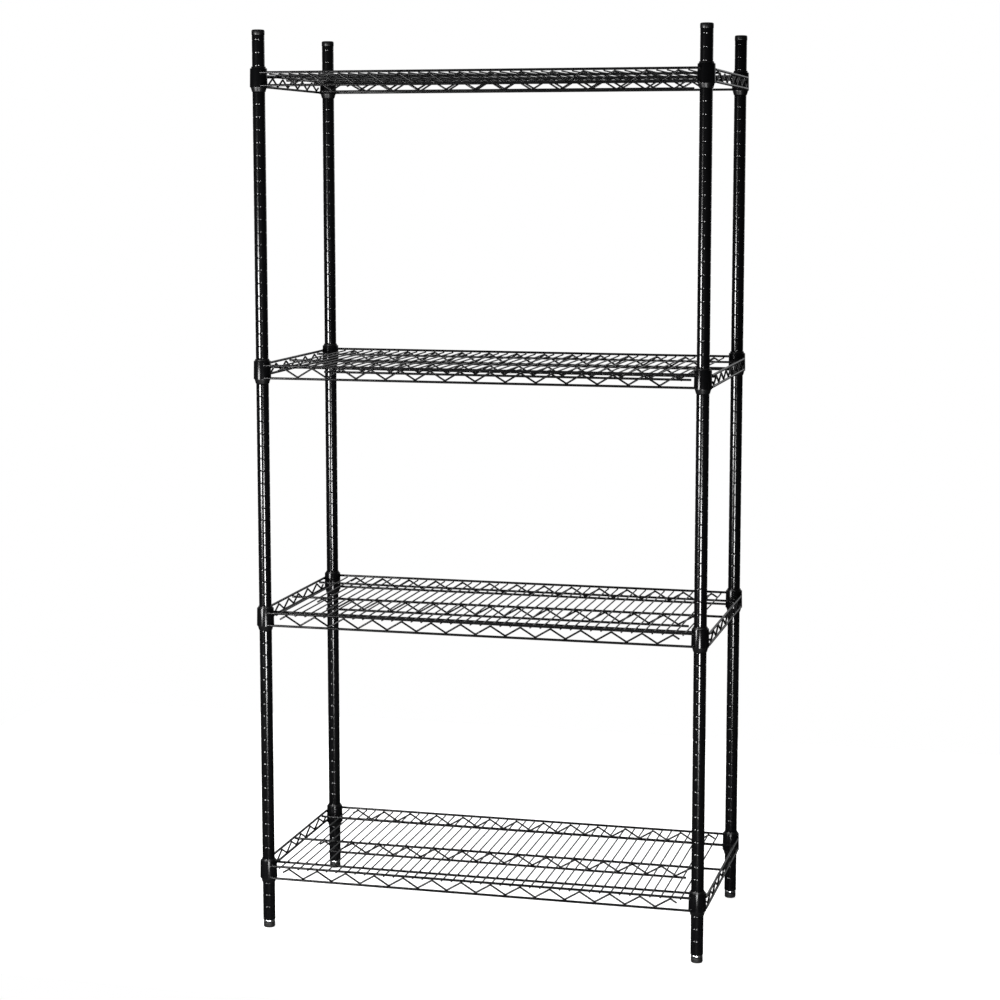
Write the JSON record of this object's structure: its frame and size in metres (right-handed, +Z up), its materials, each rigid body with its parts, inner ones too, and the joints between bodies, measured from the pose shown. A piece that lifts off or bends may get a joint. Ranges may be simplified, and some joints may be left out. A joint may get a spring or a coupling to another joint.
{
  "type": "wire shelving rack",
  "caption": "Tall free-standing wire shelving rack: open wire decks with trussed edges, held by corner collars on tapered sleeves round grooved tube posts with levelling feet.",
  "frame": {"origin": "on the floor, under the middle of the rack", "axes": "+Z up along the posts, +X along the front to the right seen from the front, +Y from the front to the back"},
  "size_m": [0.9398, 0.4738, 1.845],
  "materials": {
    "black_coat": "gloss black epoxy powder coat over steel",
    "black_plastic": "satin black moulded plastic",
    "zinc": "bright zinc plated steel"
  },
  "bodies": {
    "uprights": {"post_FL": "black_coat", "cap_FL": "black_plastic", "foot_insert_FL": "zinc", "post_FR": "black_coat", "cap_FR": "black_plastic", "foot_insert_FR": "zinc", "post_BL": "black_coat", "cap_BL": "black_plastic", "foot_insert_BL": "zinc", "post_BR": "black_coat", "cap_BR": "black_plastic", "foot_insert_BR": "zinc", "sleeve_1_FL_front": "black_plastic", "sleeve_1_FL_back": "black_plastic", "sleeve_1_FR_front": "black_plastic", "sleeve_1_FR_back": "black_plastic", "sleeve_1_BL_front": "black_plastic", "sleeve_1_BL_back": "black_plastic", "sleeve_1_BR_front": "black_plastic", "sleeve_1_BR_back": "black_plastic", "sleeve_2_FL_front": "black_plastic", "sleeve_2_FL_back": "black_plastic", "sleeve_2_FR_front": "black_plastic", "sleeve_2_FR_back": "black_plastic", "sleeve_2_BL_front": "black_plastic", "sleeve_2_BL_back": "black_plastic", "sleeve_2_BR_front": "black_plastic", "sleeve_2_BR_back": "black_plastic", "sleeve_3_FL_front": "black_plastic", "sleeve_3_FL_back": "black_plastic", "sleeve_3_FR_front": "black_plastic", "sleeve_3_FR_back": "black_plastic", "sleeve_3_BL_front": "black_plastic", "sleeve_3_BL_back": "black_plastic", "sleeve_3_BR_front": "black_plastic", "sleeve_3_BR_back": "black_plastic", "sleeve_4_FL_front": "black_plastic", "sleeve_4_FL_back": "black_plastic", "sleeve_4_FR_front": "black_plastic", "sleeve_4_FR_back": "black_plastic", "sleeve_4_BL_front": "black_plastic", "sleeve_4_BL_back": "black_plastic", "sleeve_4_BR_front": "black_plastic", "sleeve_4_BR_back": "black_plastic"},
    "shelf_1": {"shelf_1_frame": "black_coat", "shelf_1_deck": "black_coat"},
    "shelf_2": {"shelf_2_frame": "black_coat", "shelf_2_deck": "black_coat"},
    "shelf_3": {"shelf_3_frame": "black_coat", "shelf_3_deck": "black_coat"},
    "shelf_4": {"shelf_4_frame": "black_coat", "shelf_4_deck": "black_coat"},
    "foot_FL": {"foot_stud_FL": "zinc", "foot_pad_FL": "black_plastic"},
    "foot_FR": {"foot_stud_FR": "zinc", "foot_pad_FR": "black_plastic"},
    "foot_BL": {"foot_stud_BL": "zinc", "foot_pad_BL": "black_plastic"},
    "foot_BR": {"foot_stud_BR": "zinc", "foot_pad_BR": "black_plastic"}
  },
  "joints": [
    {"name": "shelf_1_lift", "type": "slide", "parent": "uprights", "child": "shelf_1", "axis": [0, 0, 1], "range_m": [0, 0.25]},
    {"name": "shelf_2_lift", "type": "slide", "parent": "uprights", "child": "shelf_2", "axis": [0, 0, 1], "range_m": [0, 0.25]},
    {"name": "shelf_3_lift", "type": "slide", "parent": "uprights", "child": "shelf_3", "axis": [0, 0, 1], "range_m": [0, 0.25]},
    {"name": "shelf_4_lift", "type": "slide", "parent": "uprights", "child": "shelf_4", "axis": [0, 0, 1], "range_m": [0, 0.1]},
    {"name": "foot_FL_level", "type": "slide", "parent": "uprights", "child": "foot_FL", "axis": [0, 0, -1], "range_m": [0, 0.012]},
    {"name": "foot_FR_level", "type": "slide", "parent": "uprights", "child": "foot_FR", "axis": [0, 0, -1], "range_m": [0, 0.012]},
    {"name": "foot_BL_level", "type": "slide", "parent": "uprights", "child": "foot_BL", "axis": [0, 0, -1], "range_m": [0, 0.012]},
    {"name": "foot_BR_level", "type": "slide", "parent": "uprights", "child": "foot_BR", "axis": [0, 0, -1], "range_m": [0, 0.012]}
  ]
}
